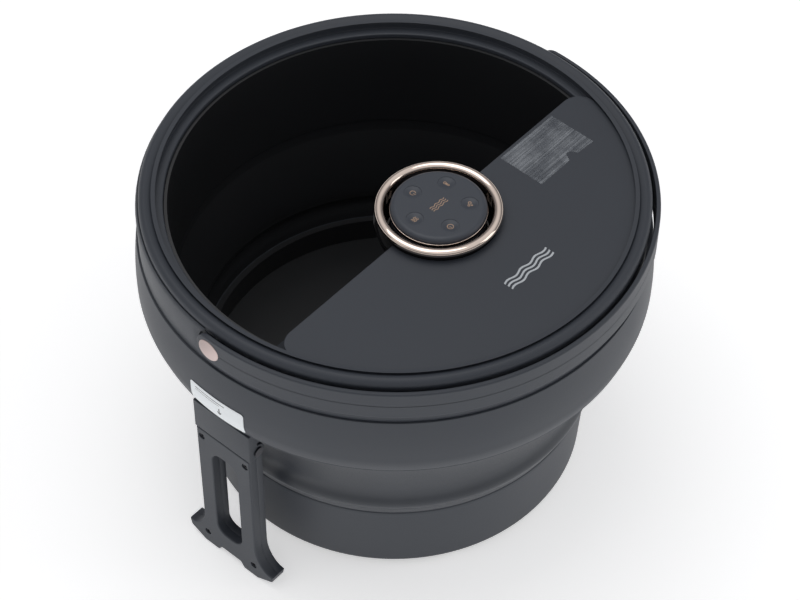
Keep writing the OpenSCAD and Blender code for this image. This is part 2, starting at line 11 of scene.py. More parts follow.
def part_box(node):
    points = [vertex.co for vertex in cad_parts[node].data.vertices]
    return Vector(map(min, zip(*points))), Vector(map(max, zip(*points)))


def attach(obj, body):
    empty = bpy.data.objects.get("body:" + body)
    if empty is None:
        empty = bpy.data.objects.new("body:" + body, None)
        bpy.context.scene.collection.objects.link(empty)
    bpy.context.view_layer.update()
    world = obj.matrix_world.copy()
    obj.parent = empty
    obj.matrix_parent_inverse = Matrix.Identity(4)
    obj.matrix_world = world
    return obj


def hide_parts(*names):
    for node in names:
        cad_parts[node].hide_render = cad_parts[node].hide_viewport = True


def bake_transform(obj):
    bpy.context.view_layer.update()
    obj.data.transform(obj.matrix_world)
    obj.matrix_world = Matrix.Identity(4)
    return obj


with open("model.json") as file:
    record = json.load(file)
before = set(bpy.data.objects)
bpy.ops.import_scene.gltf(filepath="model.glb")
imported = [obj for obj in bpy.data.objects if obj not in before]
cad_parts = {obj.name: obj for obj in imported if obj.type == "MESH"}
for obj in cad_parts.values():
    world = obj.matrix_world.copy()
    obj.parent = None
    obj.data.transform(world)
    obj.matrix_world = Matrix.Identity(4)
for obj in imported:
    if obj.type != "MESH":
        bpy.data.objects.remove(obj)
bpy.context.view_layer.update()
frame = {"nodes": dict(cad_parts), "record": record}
NODES = frame["nodes"]
BODY_OF = {n: b for b, ns in frame["record"]["behaviour"]["bodies"].items() for n in ns}
SLOT_OF = {s["node"]: s["material_slot"] for s in frame["record"]["subparts"]}
MM = 0.001


def mm(node):
    """Lowest and highest corner of a CAD node, in millimetres."""
    low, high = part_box(node)
    return low / MM, high / MM


# ---------------------------------------------------------------- camera, light and floor

CAMERA_AT = (-1.00835, -0.86611, 1.67850)
CAMERA_LENS = 105.45
CAMERA_ANGLES = (-49.55, 48.84, 0.70)
BATH_MIDDLE = (0, 0, 0.2)


def make_camera():
    """The camera at the photo's angle, from its azimuth, elevation and roll."""
    azimuth, elevation, roll = (math.radians(a) for a in CAMERA_ANGLES)
    away = Vector((math.sin(azimuth) * math.cos(elevation), -math.cos(azimuth) * math.cos(elevation),
                   math.sin(elevation)))
    side = Vector((math.cos(azimuth), math.sin(azimuth), 0))
    up = away.cross(side)
    right = math.cos(roll) * side + math.sin(roll) * up
    above = away.cross(right)
    data = bpy.data.cameras.new("camera")
    data.sensor_width = 36
    data.lens = CAMERA_LENS
    data.clip_end = 50
    camera = bpy.data.objects.new("camera", data)
    bpy.context.scene.collection.objects.link(camera)
    turn = Matrix((right, above, away)).transposed().to_4x4()
    camera.matrix_world = Matrix.Translation(CAMERA_AT) @ turn
    bpy.context.scene.camera = camera


def area_light(name, place, size, power):
    data = bpy.data.lights.new(name, "AREA")
    data.shape = "RECTANGLE"
    data.size, data.size_y = size
    data.energy = power
    light = bpy.data.objects.new(name, data)
    bpy.context.scene.collection.objects.link(light)
    toward = Vector(BATH_MIDDLE) - Vector(place)
    turn = toward.to_track_quat("-Z", "Y").to_matrix().to_4x4()
    light.matrix_world = Matrix.Translation(place) @ turn


def make_light():
    """Pale walls with one dark band, for the metal to reflect, and three softboxes."""
    world = bpy.data.worlds.new("studio")
    world.use_nodes = True
    tree = world.node_tree
    place = tree.nodes.new("ShaderNodeTexCoord")
    split = tree.nodes.new("ShaderNodeSeparateXYZ")
    ramp = tree.nodes.new("ShaderNodeValToRGB")
    stops = ramp.color_ramp.elements
    stops[0].position, stops[1].position = 0.06, 0.75
    stops[0].color = (0.80, 0.80, 0.80, 1)
    stops[1].color = (0.62, 0.62, 0.63, 1)
    for height in (0.22, 0.45):
        stops.new(height).color = (0.17, 0.17, 0.18, 1)
    tree.links.new(place.outputs["Generated"], split.inputs[0])
    tree.links.new(split.outputs["Z"], ramp.inputs["Fac"])
    tree.links.new(ramp.outputs["Color"], tree.nodes["Background"].inputs["Color"])
    bpy.context.scene.world = world
    area_light("top_softbox", (0.1, 0.5, 2.4), (1.6, 1.6), 10.5)
    area_light("left_softbox", (-1.9, 0.9, 1.3), (1.0, 1.4), 1.0)
    area_light("right_softbox", (1.3, -1.7, 1.2), (0.9, 1.4), 4.5)
    bpy.context.scene.view_settings.view_transform = "Standard"


def make_floor():
    half = 20.0
    corners = [(-half, -half, 0), (half, -half, 0), (half, half, 0), (-half, half, 0)]
    mesh = bpy.data.meshes.new("floor")
    mesh.from_pydata(corners, [], [(0, 1, 2, 3)])
    floor = bpy.data.objects.new("floor", mesh)
    bpy.context.scene.collection.objects.link(floor)
    material = bpy.data.materials.new("floor")
    material.use_nodes = True
    shader = material.node_tree.nodes["Principled BSDF"]
    shader.inputs["Base Color"].default_value = (0.9, 0.9, 0.9, 1)
    shader.inputs["Roughness"].default_value = 0.9
    shader.inputs["Emission Color"].default_value = (1, 1, 1, 1)
    shader.inputs["Emission Strength"].default_value = 0.48
    mesh.materials.append(material)


# ---------------------------------------------------------------- materials

class Graph:
    """A short way to write a material's nodes."""

    def __init__(self, name):
        self.material = bpy.data.materials.new(name)
        self.material.use_nodes = True
        self.tree = self.material.node_tree
        self.shader = self.tree.nodes["Principled BSDF"]
        self.place = self.add("ShaderNodeTexCoord").outputs["Object"]

    def add(self, kind, **values):
        node = self.tree.nodes.new(kind)
        for key, value in values.items():
            if hasattr(node, key):
                setattr(node, key, value)
            else:
                node.inputs[key.replace("_", " ")].default_value = value
        return node

    def link(self, source, target):
        self.tree.links.new(source, target)

    def set(self, **values):
        for key, value in values.items():
            self.shader.inputs[key.replace("_", " ")].default_value = value

    def noise(self, scale, detail=4.0, rough=0.5, stretch=(1, 1, 1), place=None):
        mapping = self.add("ShaderNodeMapping")
        mapping.inputs["Scale"].default_value = stretch
        self.link(place or self.place, mapping.inputs["Vector"])
        noise = self.add("ShaderNodeTexNoise", Scale=scale, Detail=detail, Roughness=rough)
        self.link(mapping.outputs[0], noise.inputs["Vector"])
        return noise.outputs["Fac"]

    def ramp(self, value, low, high, start=0.3, end=0.7):
        """Maps a value between start and end to a colour between low and high."""
        node = self.add("ShaderNodeMix")
        node.data_type = "RGBA"
        node.inputs["A"].default_value = (*low, 1)
        node.inputs["B"].default_value = (*high, 1)
        self.link(self.span(value, 0, 1, start, end), node.inputs["Factor"])
        return node.outputs[2]

    def span(self, value, low, high, start, end):
        """Maps a value between start and end to a number between low and high."""
        node = self.add("ShaderNodeMapRange")
        for key, number in zip(("From Min", "From Max", "To Min", "To Max"), (start, end, low, high)):
            node.inputs[key].default_value = number
        self.link(value, node.inputs["Value"])
        return node.outputs["Result"]

    def math(self, operation, first, second=None):
        node = self.add("ShaderNodeMath", operation=operation)
        for socket, value in zip(node.inputs, (first, second)):
            if isinstance(value, (int, float)):
                socket.default_value = value
            elif value is not None:
                self.link(value, socket)
        return node.outputs[0]

    def bump(self, height, distance, strength=1.0):
        node = self.add("ShaderNodeBump", Strength=strength, Distance=distance)
        self.link(height, node.inputs["Height"])
        self.link(node.outputs[0], self.shader.inputs["Normal"])

    def input(self, name, source):
        self.link(source, self.shader.inputs[name])


def shaded(colour, share):
    return tuple(c * share for c in colour)


def plastic(name, colour, roughness, grain=0.00001, grain_scale=1400.0):
    """Moulded plastic: fine even grain, faint clouding of colour and gloss."""
    g = Graph(name)
    cloudy = g.noise(9.0, 3.0)
    fine = g.noise(grain_scale, 2.0, 0.6)
    g.input("Base Color", g.ramp(cloudy, shaded(colour, 0.96), shaded(colour, 1.04)))
    both = g.math("ADD", cloudy, fine)
    g.input("Roughness", g.span(both, roughness - 0.05, roughness + 0.05, 0.7, 1.3))
    g.bump(fine, grain)
    g.set(IOR=1.48)
    return g.material


def polished(name, colour, roughness):
    """Plated metal with faint polishing haze and small hairlines."""
    g = Graph(name)
    haze = g.noise(60.0, 3.0)
    lines = g.noise(240.0, 2.0, 0.5, (1, 1, 14))
    g.input("Base Color", g.ramp(haze, shaded(colour, 0.97), colour))
    g.input("Roughness", g.span(g.math("ADD", haze, lines), roughness * 0.6, roughness * 1.5, 0.6, 1.4))
    g.set(Metallic=1.0)
    return g.material


def brushed_disc(name, colour, centre):
    """Metal spun about an axis along X: fine rings, and a painted sheen, spokes of darker base colour,
    that fans out from the centre.
    """
    g = Graph(name)
    offset = g.add("ShaderNodeVectorMath", operation="SUBTRACT")
    g.link(g.place, offset.inputs[0])
    offset.inputs[1].default_value = centre
    split = g.add("ShaderNodeSeparateXYZ")
    g.link(offset.outputs[0], split.inputs[0])
    radius = g.math("SQRT", g.math("ADD", g.math("POWER", split.outputs[1], 2.0),
                                   g.math("POWER", split.outputs[2], 2.0)))
    combine = g.add("ShaderNodeCombineXYZ")
    g.link(radius, combine.inputs[0])
    rings = g.noise(2600.0, 3.0, 0.7, place=combine.outputs[0])
    spoke = g.add("ShaderNodeVectorMath", operation="NORMALIZE")
    g.link(offset.outputs[0], spoke.inputs[0])
    # Painted sheen: spokes of noise about the centre darken the base colour down to 0.55, standing in
    # for the fanned reflection of spun metal.
    painted_sheen = g.noise(1.9, 3.0, 0.6, (0, 1, 1), spoke.outputs[0])
    g.input("Base Color", g.ramp(painted_sheen, shaded(colour, 0.55), colour, 0.36, 0.62))
    g.input("Roughness", g.span(rings, 0.24, 0.42, 0.3, 0.7))
    g.bump(rings, 0.00002, 0.6)
    g.set(Metallic=1.0, Anisotropic=0.5)
    return g.material


def satin_metal(name, colour):
    """Plain metal with fine streaks across its height."""
    g = Graph(name)
    streaks = g.noise(300.0, 3.0, 0.6, (1, 1, 12))
    g.input("Base Color", g.ramp(streaks, shaded(colour, 0.9), colour))
    g.input("Roughness", g.span(streaks, 0.28, 0.42, 0.3, 0.7))
    g.bump(streaks, 0.00001, 0.5)
    g.set(Metallic=1.0)
    return g.material


def rubber(name, colour, roughness):
    """Rubber with a fine grain and faint clouding."""
    g = Graph(name)
    fine = g.noise(900.0, 3.0, 0.6)
    cloudy = g.noise(14.0, 3.0)
    g.input("Base Color", g.ramp(cloudy, shaded(colour, 0.92), shaded(colour, 1.08)))
    g.input("Roughness", g.span(fine, roughness - 0.06, roughness + 0.06, 0.3, 0.7))
    g.bump(fine, 0.00002)
    return g.material


def circuit_board(name):
    g = Graph(name)
    tracks = g.add("ShaderNodeTexBrick", Scale=160.0, Mortar_Size=0.03)
    g.link(g.place, tracks.inputs["Vector"])
    mix = g.ramp(tracks.outputs["Fac"], (0.012, 0.085, 0.04), (0.03, 0.17, 0.08), 0.0, 1.0)
    g.input("Base Color", mix)
    g.bump(tracks.outputs["Fac"], 0.00004)
    g.set(Roughness=0.35)
    return g.material


def paper(name, colour):
    g = Graph(name)
    fibre = g.noise(700.0, 4.0, 0.6)
    g.input("Base Color", g.ramp(fibre, shaded(colour, 0.97), colour))
    g.input("Roughness", g.span(fibre, 0.42, 0.55, 0.3, 0.7))
    g.bump(fibre, 0.00001, 0.4)
    return g.material


def clear_film(name):
    """Thin milky film with fine stretch lines along its length."""
    g = Graph(name)
    lines = g.noise(150.0, 2.0, 0.6, (0.05, 4.0, 1))
    patches = g.noise(45.0, 3.0, 0.6)
    both = g.math("MULTIPLY", lines, patches)
    g.input("Base Color", g.ramp(both, (0.22, 0.24, 0.27), (0.50, 0.53, 0.57), 0.17, 0.36))
    g.input("Alpha", g.span(both, 0.14, 0.30, 0.17, 0.36))
    g.input("Roughness", g.span(patches, 0.25, 0.45, 0.3, 0.7))
    g.bump(lines, 0.00005)
    return g.material


SLATE = (0.0395, 0.0455, 0.0575)
NEAR_BLACK = (0.0205, 0.0213, 0.0232)
GOLD = (0.95, 0.80, 0.70)
ROSE = (0.62, 0.50, 0.475)
CAP_LOW, CAP_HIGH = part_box("handle_cap_left")
CAP_CENTRE = (0, (CAP_LOW.y + CAP_HIGH.y) / 2, (CAP_LOW.z + CAP_HIGH.z) / 2)
MATERIALS = {
    "shell": plastic("soft_touch_slate", SLATE, 0.52),
    "inner_plastic": plastic("tub_black", NEAR_BLACK, 0.36),
    "bellows_rubber": rubber("bellows_slate", (0.036, 0.0415, 0.052), 0.42),
    "black_rubber": rubber("black_rubber", (0.012, 0.012, 0.013), 0.62),
    "black_plastic": plastic("gloss_black", (0.010, 0.010, 0.011), 0.10, 0.000002, 900.0),
    "rose_gold": polished("polished_rose_gold", GOLD, 0.055),
    "rose_gold_brushed": brushed_disc("brushed_rose_gold", ROSE, CAP_CENTRE),
    "steel": satin_metal("satin_steel", (0.55, 0.56, 0.58)),
    "dark_steel": satin_metal("dark_steel", (0.10, 0.10, 0.11)),
    "circuit": circuit_board("circuit_board"),
    "label": paper("label_white", (0.94, 0.98, 1.0)),
    "mark": paper("mark_grey", (0.55, 0.58, 0.61)),
    "remote": plastic("remote_slate", shaded(SLATE, 1.28), 0.44),
    "print": paper("print_gold", (0.50, 0.33, 0.22)),
    "film": clear_film("clear_film"),
}


# ---------------------------------------------------------------- mesh tools

def new_object(name, mesh, body, slot, material=None):
    piece = bpy.data.objects.new(name, mesh)
    bpy.context.scene.collection.objects.link(piece)
    if not mesh.materials:
        mesh.materials.append(material or MATERIALS[slot])
    if body:
        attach(piece, body)
    return piece


def smooth(mesh, angle=38):
    mesh.shade_smooth()
    mesh.set_sharp_from_angle(angle=math.radians(angle))


def rounded(corners, steps=6):
    """Points of a closed outline whose corners, (x, y, radius), are rounded by arcs."""
    points = []
    count = len(corners)
    for i, corner in enumerate(corners):
        here = Vector(corner[:2])
        radius = corner[2] if len(corner) > 2 else 0
        before = Vector(corners[i - 1][:2]) - here
        after = Vector(corners[(i + 1) % count][:2]) - here
        angle = before.angle(after)
        if radius <= 0 or angle > math.pi - 0.01:
            points.append(tuple(here))
            continue
        cut = radius / math.tan(angle / 2)
        start = here + before.normalized() * cut
        end = here + after.normalized() * cut
        bisector = (before.normalized() + after.normalized()).normalized()
        centre = here + bisector * radius / math.sin(angle / 2)
        a0 = math.atan2(start.y - centre.y, start.x - centre.x)
        a1 = math.atan2(end.y - centre.y, end.x - centre.x)
        sweep = (a1 - a0 + math.pi) % (2 * math.pi) - math.pi
        for k in range(steps + 1):
            a = a0 + sweep * k / steps
            points.append((centre.x + radius * math.cos(a), centre.y + radius * math.sin(a)))
    return points


def lathe_mesh(name, profile, centre=(0, 0), turns=256, closed=True, angle=38):
    """A surface of revolution about Z from (radius, height) points in millimetres."""
    mesh = bpy.data.meshes.new(name)
    verts, faces, rings = [], [], []
    for r, z in profile:
        if r < 1e-4:
            rings.append([len(verts)])
            verts.append((centre[0] * MM, centre[1] * MM, z * MM))
            continue
        ring = []
        for k in range(turns):
            a = 2 * math.pi * k / turns
            x, y = centre[0] + r * math.cos(a), centre[1] + r * math.sin(a)
            ring.append(len(verts))
            verts.append((x * MM, y * MM, z * MM))
        rings.append(ring)
    pairs = list(zip(rings, rings[1:] + rings[:1])) if closed else list(zip(rings, rings[1:]))
    for a, b in pairs:
        if len(a) == 1 and len(b) == 1:
            continue
        for k in range(turns):
            n = (k + 1) % turns
            if len(a) == 1:
                faces.append((a[0], b[k], b[n]))
            elif len(b) == 1:
                faces.append((a[k], b[0], a[n]))
            else:
                faces.append((a[k], b[k], b[n], a[n]))
    mesh.from_pydata(verts, [], faces)
    tidy_normals(mesh)
    smooth(mesh, angle)
    return mesh


def tidy_normals(mesh):
    bm = bmesh.new()
    bm.from_mesh(mesh)
    bmesh.ops.recalc_face_normals(bm, faces=bm.faces)
    bm.to_mesh(mesh)
    bm.free()


def lathe(node, profile, centre=(0, 0), turns=256, closed=True, angle=38):
    """Replaces a CAD node by a finely turned piece."""
    name = node + "_turned"
    mesh = lathe_mesh(name, profile, centre, turns, closed, angle)
    piece = new_object(name, mesh, BODY_OF[node], SLOT_OF[node])
    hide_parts(node)
    return piece


def softened(node, width, segments=2):
    """Replaces a CAD node by a copy whose sharp edges are rounded."""
    mesh = NODES[node].data.copy()
    mesh.name = node + "_soft"
    mesh.materials.clear()
    bm = bmesh.new()
    bm.from_mesh(mesh)
    bmesh.ops.remove_doubles(bm, verts=bm.verts, dist=1e-6)
    bmesh.ops.dissolve_limit(bm, angle_limit=math.radians(0.2), verts=bm.verts, edges=bm.edges)
    bm.to_mesh(mesh)
    bm.free()
    piece = new_object(node + "_soft", mesh, None, SLOT_OF[node])
    bevel = piece.modifiers.new("bevel", "BEVEL")
    bevel.width = width * MM
    bevel.segments = segments
    bevel.limit_method = "ANGLE"
    bevel.angle_limit = math.radians(30)
    bevel.harden_normals = True
    apply_modifiers(piece)
    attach(piece, BODY_OF[node])
    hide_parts(node)
    return piece


def apply_modifiers(piece):
    graph = bpy.context.evaluated_depsgraph_get()
    final = bpy.data.meshes.new_from_object(piece.evaluated_get(graph))
    piece.modifiers.clear()
    piece.data = final


def paint_frame():
    """Gives every CAD node its material."""
    for name, node in NODES.items():
        node.data.materials.clear()
        node.data.materials.append(MATERIALS[SLOT_OF[name]])
        smooth(node.data)


# ---------------------------------------------------------------- slabs with rounded edges

def circle(radius, centre, steps):
    return sweep_points(radius, 0, 2 * math.pi, centre, steps)[:-1]


def sweep_points(radius, start, end, centre, steps):
    """Points along an arc between two angles in radians."""
    return [(centre[0] + radius * math.cos(a), centre[1] + radius * math.sin(a))
            for a in (start + (end - start) * k / steps for k in range(steps + 1))]


def area_of(points):
    return sum(a[0] * b[1] - b[0] * a[1] for a, b in zip(points, points[1:] + points[:1])) / 2


def inset(points, distance):
    """The outline moved to its left by a distance, with mitred corners."""
    moved = []
    count = len(points)
    for i, point in enumerate(points):
        here = Vector(point)
        one = (here - Vector(points[i - 1])).normalized()
        two = (Vector(points[(i + 1) % count]) - here).normalized()
        left = Vector((-(one.y + two.y), one.x + two.x))
        left.normalize()
        scale = max(0.35, left.dot(Vector((-one.y, one.x))))
        moved.append(tuple(here + left * distance / scale))
    return moved


def quarter(edge, steps=5):
    """(inset, depth) pairs of a rounded edge, from the wall up to the face."""
    pairs = []
    for k in range(steps + 1):
        a = math.pi / 2 * k / steps
        pairs.append((edge * (1 - math.cos(a)), edge * (1 - math.sin(a))))
    return pairs


def slab(name, outline, holes, depth, front, back, place, wells=()):
    """A plate with rounded edges. Holes are (points, edge) and go through, wells are
    (points, edge, depth). place turns a point of the outline and a depth under the front face
    into a place in millimetres."""
    mesh = bpy.data.meshes.new(name)
    verts, faces = [], []

    def ring(points, w):
        first = len(verts)
        verts.extend(tuple(c * MM for c in place(p[0], p[1], w)) for p in points)
        return list(range(first, first + len(points)))

    def wall(loops):
        for a, b in zip(loops, loops[1:]):
            for k in range(len(a)):
                n = (k + 1) % len(a)
                faces.append((a[k], a[n], b[n], b[k]))

    def edge_loops(points, edge, hold):
        """Loops from the face down to the wall."""
        offsets = [(edge + hold, 0.0)] + list(reversed(quarter(edge)))
        return [(inset(points, d), w) for d, w in offsets]

    outer = outline if area_of(outline) > 0 else outline[::-1]
    front_loops = edge_loops(outer, front, 0.25)
    back_loops = [(p, depth - w) for p, w in edge_loops(outer, back, 0.25)]
    rows = [ring(p, w) for p, w in front_loops] + [ring(p, w) for p, w in reversed(back_loops)]
    wall(rows)
    front_faces = [(front_loops[0][0], rows[0])]
    back_faces = [(back_loops[0][0], rows[-1])]
    for points, edge in holes:
        hole = points if area_of(points) < 0 else points[::-1]
        top = edge_loops(hole, edge, 0.25)
        low = [(p, depth - w) for p, w in edge_loops(hole, min(edge, back), 0.25)]
        hole_rows = [ring(p, w) for p, w in top] + [ring(p, w) for p, w in reversed(low)]
        wall(hole_rows)
        front_faces.append((top[0][0], hole_rows[0]))
        back_faces.append((low[0][0], hole_rows[-1]))
    for points, edge, well in wells:
        hole = points if area_of(points) < 0 else points[::-1]
        top = edge_loops(hole, edge, 0.15)
        hole_rows = [ring(p, w) for p, w in top] + [ring(top[-1][0], well)]
        wall(hole_rows)
        faces.append(tuple(hole_rows[-1]))
        front_faces.append((top[0][0], hole_rows[0]))
    for parts in (front_faces, back_faces):
        polygon = [[Vector((p[0], p[1], 0)) for p in points] for points, _ in parts]
        ids = [i for _, row in parts for i in row]
        faces.extend(tuple(ids[i] for i in triangle) for triangle in tessellate_polygon(polygon))
    mesh.from_pydata(verts, [], faces)
    tidy_normals(mesh)
    smooth(mesh, 40)
    return mesh


# ---------------------------------------------------------------- sizes read from the CAD

PIVOT_Y, PIVOT_Z = ((mm("handle_cap_left")[0] + mm("handle_cap_left")[1]) / 2).yz
HANDLE_R = -mm("handle_band")[0].x
HANDLE_LOW, HANDLE_HIGH = mm("handle_band")[0].z, mm("handle_band")[1].z
RIM_R = mm("rim_ring")[1].x
RIM_TOP = mm("rim_ring")[1].z
RIM_LOW = mm("rim_ring")[0].z
SKIRT_R = mm("skirt_shell")[1].x
SKIRT_LOW, SEAM = mm("skirt_shell")[0].z, mm("skirt_shell")[1].z
BELLOWS_LOW, BELLOWS_HIGH = mm("bellows")[0].z, mm("bellows")[1].z
MOUTH_R = mm("inner_liner")[1].x + 0.4
BASE_R = mm("base_collar")[1].x
COLLAR_LOW, BASE_TOP = mm("base_collar")[0].z, mm("base_collar")[1].z
LID_LOW, LID_TOP = mm("lid_panel")[0].z, mm("lid_panel")[1].z
LID_R = -mm("lid_panel")[0].y
LID_EDGE = mm("lid_panel")[1].y
LID_CORNER = 17
CUP_Y = (mm("lid_cup")[0].y + mm("lid_cup")[1].y) / 2
CUP_LOW, CUP_HIGH = mm("lid_cup")[0].z, mm("lid_cup")[1].z
CUP_R = mm("lid_cup")[1].x - 3
RING_R = mm("cup_ring")[1].x
RING_TOP = mm("cup_ring")[1].z
REMOTE_R = mm("remote_band")[1].x
FACE_R = mm("remote_face")[1].x
FACE_LOW, FACE_TOP = mm("remote_face")[0].z, mm("remote_face")[1].z
KEYS = ("key_power", "key_heat", "key_bubbles", "key_time", "key_massage")
LEG_FACE = -mm("leg_panel_left")[0].x
LEG_TOP = mm("leg_panel_left")[1].z
LEG_HALF = mm("leg_panel_left")[1].y
LEG_DEPTH = mm("leg_panel_left")[1].x - mm("leg_panel_left")[0].x


def middle(node):
    low, high = mm(node)
    return (low + high) / 2


# ---------------------------------------------------------------- ring, skirt, bellows, base

def build_ring():
    bead = 5.5
    seat = RIM_R - 12
    ledge = RIM_TOP - 9
    foot = RIM_R - 4.4
    outer = [(RIM_R - bead + bead * math.cos(a), RIM_TOP - bead + bead * math.sin(a))
             for a in (math.radians(90 - 6 * k) for k in range(16))]
    profile = rounded([(MOUTH_R, RIM_LOW), (MOUTH_R, ledge, 1.3), (seat, ledge, 0.5),
                       (seat, RIM_TOP - 0.5, 1.5), (seat + 3, RIM_TOP - 0.12, 2)], 5)
    profile += outer + [(RIM_R, ledge - 0.4), (RIM_R - 0.3, ledge - 1.2), (RIM_R - 1, ledge - 1.5),
                        (foot, ledge - 1.5), (foot, RIM_LOW)]
    lathe("rim_ring", profile, turns=320)


def skirt_radius(t):
    """Radius of the skirt's face at t, from 0 at the seam to 1 at its lower edge."""
    top = SKIRT_R - 3.1
    swell = (SKIRT_R - top) * math.sin(math.pi / 2 * min(1, t / 0.62))
    tuck = 4.2 * (1 - math.cos(math.pi / 2 * (t - 0.72) / 0.28)) if t > 0.72 else 0
    return top + swell - tuck - 0.22


def build_skirt():
    tall = SEAM - SKIRT_LOW
    steps = 48
    outer = [(skirt_radius(k / steps), SEAM - tall * k / steps) for k in range(steps + 1)]
    top = [(outer[0][0] - 4.8, SEAM), (outer[0][0] - 0.25, SEAM), (outer[0][0] - 0.07, SEAM - 0.07),
           (outer[0][0], SEAM - 0.25)]
    outer = [p for p in outer if SKIRT_LOW + 2.2 < p[1] < SEAM - 0.8]
    low_r = skirt_radius(1)
    lip = [(low_r + out, SKIRT_LOW + up)
           for out, up in ((0.35, 2.1), (0.55, 1.5), (0.45, 0.7), (0, 0.2), (-0.7, 0))]
    lip += [(MOUTH_R + 1.4, SKIRT_LOW), (MOUTH_R + 1.4, SKIRT_LOW + 3), (low_r - 4, SKIRT_LOW + 3)]
    inner = [(r - 3, z) for r, z in reversed(outer) if z > SKIRT_LOW + 8]
    lathe("skirt_shell", top + outer + lip + inner, turns=320, angle=50)


def bellows_radius(t):
    """Radius of the bellows at t, from 0 at the top to 1 at the base, with one fold near the base."""
    fold = 5.5 * math.exp(-((t - 0.87) / 0.085) ** 2)
    return BASE_R + (MOUTH_R + 0.2 - BASE_R) * (1 - t) ** 2.2 + fold


def build_bellows():
    """The soft wall: a slate outer skin, and an inner skin in near-black that paints the shade inside
    the tub.
    """
    steps = 60
    high, low = BELLOWS_HIGH - 12, BELLOWS_LOW + 4
    curve = [(bellows_radius(k / steps), high - (high - low) * k / steps) for k in range(steps + 1)]
    line = [(MOUTH_R + 0.2, BELLOWS_HIGH)] + curve + [(BASE_R - 0.4, BELLOWS_LOW)]
    # The inner skin is slate rubber like the outer one; its near-black colour is painted shade, for the
    # dark inside of the tub.
    layers = (("bellows_skin", 0.0, "bellows_rubber"), ("bellows_painted_shade_lining", -1.0, "inner_plastic"))
    for name, far, slot in layers:
        profile = [(r + far, z) for r, z in line] + [(r + far - 1.0, z) for r, z in reversed(line)]
        piece = new_object(name, lathe_mesh(name, profile, turns=256, angle=60), None, slot)
        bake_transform(piece)
        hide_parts("bellows")


def build_base():
    collar_in = mm("basin_pan")[1].x + 0.1
    lathe("base_collar", rounded([(collar_in, COLLAR_LOW), (BASE_R, COLLAR_LOW, 0.5),
                                  (BASE_R, BASE_TOP, 1.6), (collar_in, BASE_TOP)]))
    softened("roller_cradle_left", 1.0, 3)
    softened("roller_cradle_right", 1.0, 3)
    softened("bubble_bar", 0.5)
    softened("power_inlet", 0.3)
    softened("upper_shell", 0.2)
    low, high = mm("inner_liner")
    liner_in = high.x - 2.6
    lathe("inner_liner", rounded([(liner_in, low.z, 0.8), (high.x, low.z, 0.8),
                                  (high.x, high.z), (liner_in, high.z)]))


# ---------------------------------------------------------------- handle

def build_handle():
    """A thin band with rounded edges, wrapped half round the ring, with round ends over the pivots."""
    half = (HANDLE_HIGH - HANDLE_LOW) / 2
    thick = 3.8
    edge = 1.7
    start = math.pi - math.asin(PIVOT_Y / HANDLE_R)
    sweep = 3 * math.pi - 2 * start
    mesh = bpy.data.meshes.new("handle_wrap")
    verts, faces, rows = [], [], []

    def loop(h, r):
        first = len(verts)
        path = [(start + sweep * k / 180, -h) for k in range(181)]
        path += [(start + sweep + h * math.cos(a) / HANDLE_R, h * math.sin(a))
                 for a in (math.radians(-90 + 180 * k / 24) for k in range(1, 24))]
        path += [(start + sweep - sweep * k / 180, h) for k in range(181)]
        path += [(start + h * math.cos(a) / HANDLE_R, h * math.sin(a))
                 for a in (math.radians(90 + 180 * k / 24) for k in range(1, 24))]
        verts.extend((r * math.cos(a) * MM, r * math.sin(a) * MM, (PIVOT_Z + z) * MM) for a, z in path)
        rows.append(list(range(first, first + len(path))))

    for share in (0.02, 0.35, 0.7, 1.0):
        loop((half - edge - 0.2) * share, HANDLE_R - 0.02)
    for d, w in reversed(quarter(edge, 6)):
        loop(half - d, HANDLE_R - 0.02 - w)
    for d, w in quarter(0.5, 3):
        loop(half - d, HANDLE_R - thick + w)
    for share in (1.0, 0.5, 0.02):
        loop((half - 0.7) * share, HANDLE_R - thick)
    for a, b in zip(rows, rows[1:]):
        for k in range(len(a)):
            n = (k + 1) % len(a)
            faces.append((a[k], a[n], b[n], b[k]))
    mesh.from_pydata(verts, [], faces)
    bm = bmesh.new()
    bm.from_mesh(mesh)
    bmesh.ops.remove_doubles(bm, verts=bm.verts, dist=5e-5)
    bmesh.ops.recalc_face_normals(bm, faces=bm.faces)
    bm.to_mesh(mesh)
    bm.free()
    smooth(mesh, 40)
    piece = new_object("handle_wrap", mesh, "handle", "shell")
    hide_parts("handle_band")
    for side, node in ((-1, "handle_cap_left"), (1, "handle_cap_right")):
        low, high = mm(node)
        radius = (high.z - low.z) / 2
        face = max(abs(low.x), abs(high.x))
        profile = [(0, face), (radius * 0.5, face), (radius - 0.9, face - 0.03)]
        profile += [(radius - 0.9 + 0.9 * math.sin(a), face - 0.93 + 0.9 * math.cos(a))
                    for a in (math.radians(18 * k) for k in range(1, 6))]
        profile += [(radius, face - 2.4), (0, face - 2.4)]
        disc = lathe_mesh(node + "_disc", profile, turns=96)
        disc.transform(Matrix.Rotation(side * math.pi / 2, 4, "Y"))
        disc.transform(Matrix.Translation((0, PIVOT_Y * MM, PIVOT_Z * MM)))
        cap = new_object(node + "_disc", disc, "handle", "rose_gold_brushed")
        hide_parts(node)


# ---------------------------------------------------------------- legs

def leg_outline():
    """Half of the leg's outline from the arch up, then its mirror image."""
    narrow = middle("hinge_block_left").y + (mm("hinge_block_left")[1].y - 1)
    half = [(0, 6.5), (11, 6.5), (15, 0.6), (31, 0.6), (LEG_HALF - 1.5, 9), (LEG_HALF, 16)]
    half += [(narrow + (LEG_HALF - narrow) * (1 - math.sin(a)), 16 + 27 * (1 - math.cos(a)))
             for a in (math.radians(7.5 * k) for k in range(2, 13))]
    half += [(narrow, LEG_TOP)]
    return half + [(-y, z) for y, z in reversed(half[1:])]


